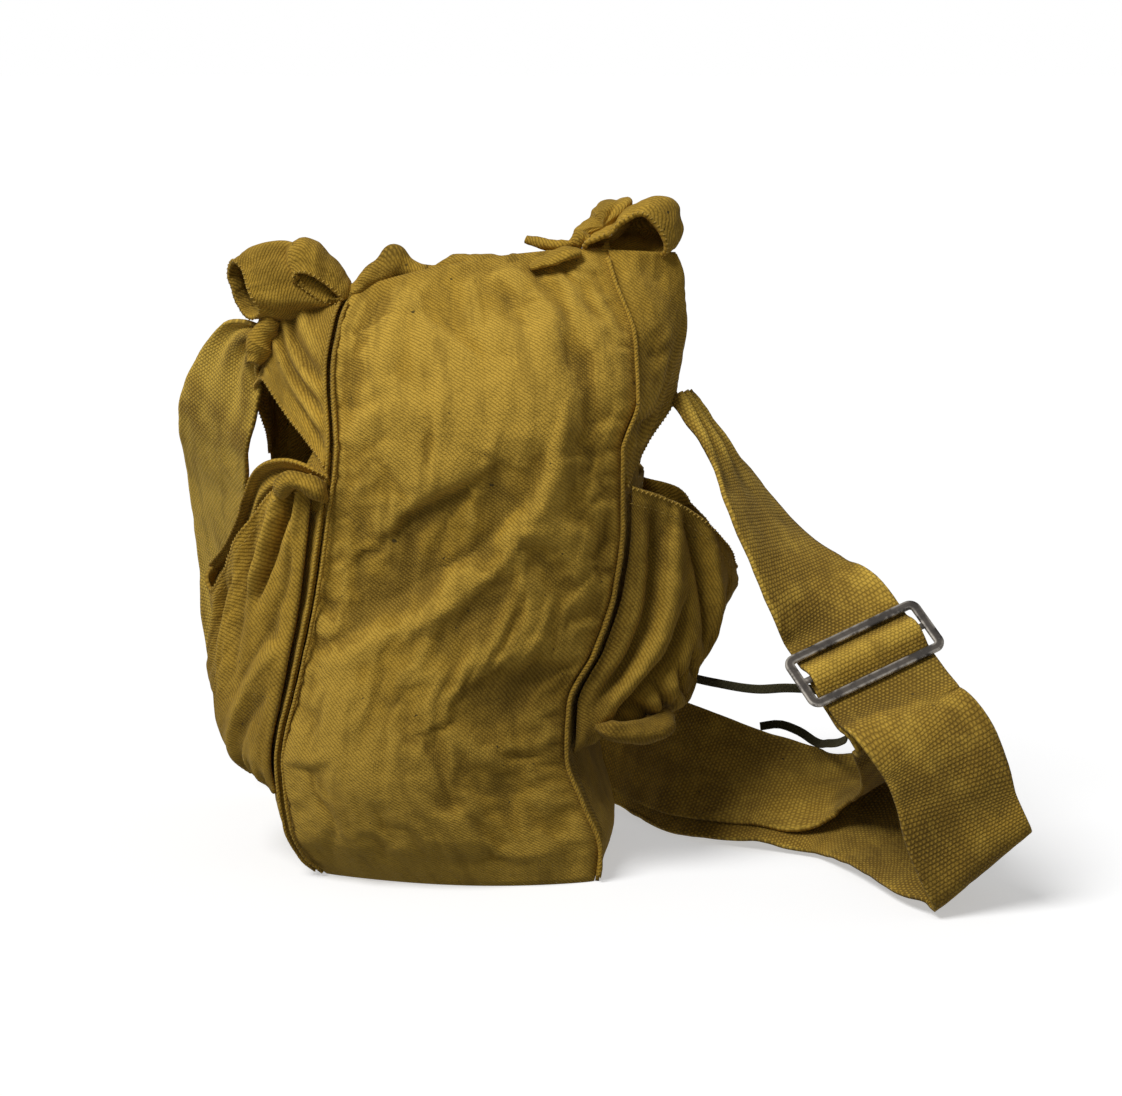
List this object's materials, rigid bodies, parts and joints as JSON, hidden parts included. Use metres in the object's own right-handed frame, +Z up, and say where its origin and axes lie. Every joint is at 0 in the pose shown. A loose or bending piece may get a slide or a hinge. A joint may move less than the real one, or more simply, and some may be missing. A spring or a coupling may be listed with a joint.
{
  "type": "canvas_satchel",
  "caption": "Stuffed, slumped canvas satchel in olive-brown twill with gathered side pockets, knotted strap ends and a long webbing strap with a steel slide buckle folded on the floor.",
  "frame": {"origin": "middle of the flat base, on the floor", "axes": "+X to the right as seen from the front, +Y away from the front, +Z up; the bag stands on its base and faces -Y"},
  "size_m": [0.3554, 0.2107, 0.2797],
  "materials": {
    "canvas": "worn olive-brown cotton twill",
    "webbing": "coarse woven cotton webbing",
    "tape": "thin dark cotton tape",
    "steel": "dark worn blued steel"
  },
  "bodies": {
    "root": {"main_panel": "canvas", "left_gusset": "canvas", "right_gusset": "canvas", "left_ear": "canvas", "right_ear": "canvas", "left_pocket": "canvas", "right_pocket": "canvas", "front_left_welt": "canvas", "front_right_welt": "canvas", "back_left_welt": "canvas", "back_right_welt": "canvas", "mouth_roll": "canvas", "left_bow": "canvas", "left_bow_fold": "canvas", "right_bow": "canvas", "right_bow_fold": "canvas", "left_knot": "webbing", "right_knot": "webbing", "upper_tail": "canvas", "lower_tail": "canvas", "strap_long": "webbing", "strap_return": "webbing", "slide_buckle": "steel", "tie_tape": "tape"}
  },
  "joints": []
}
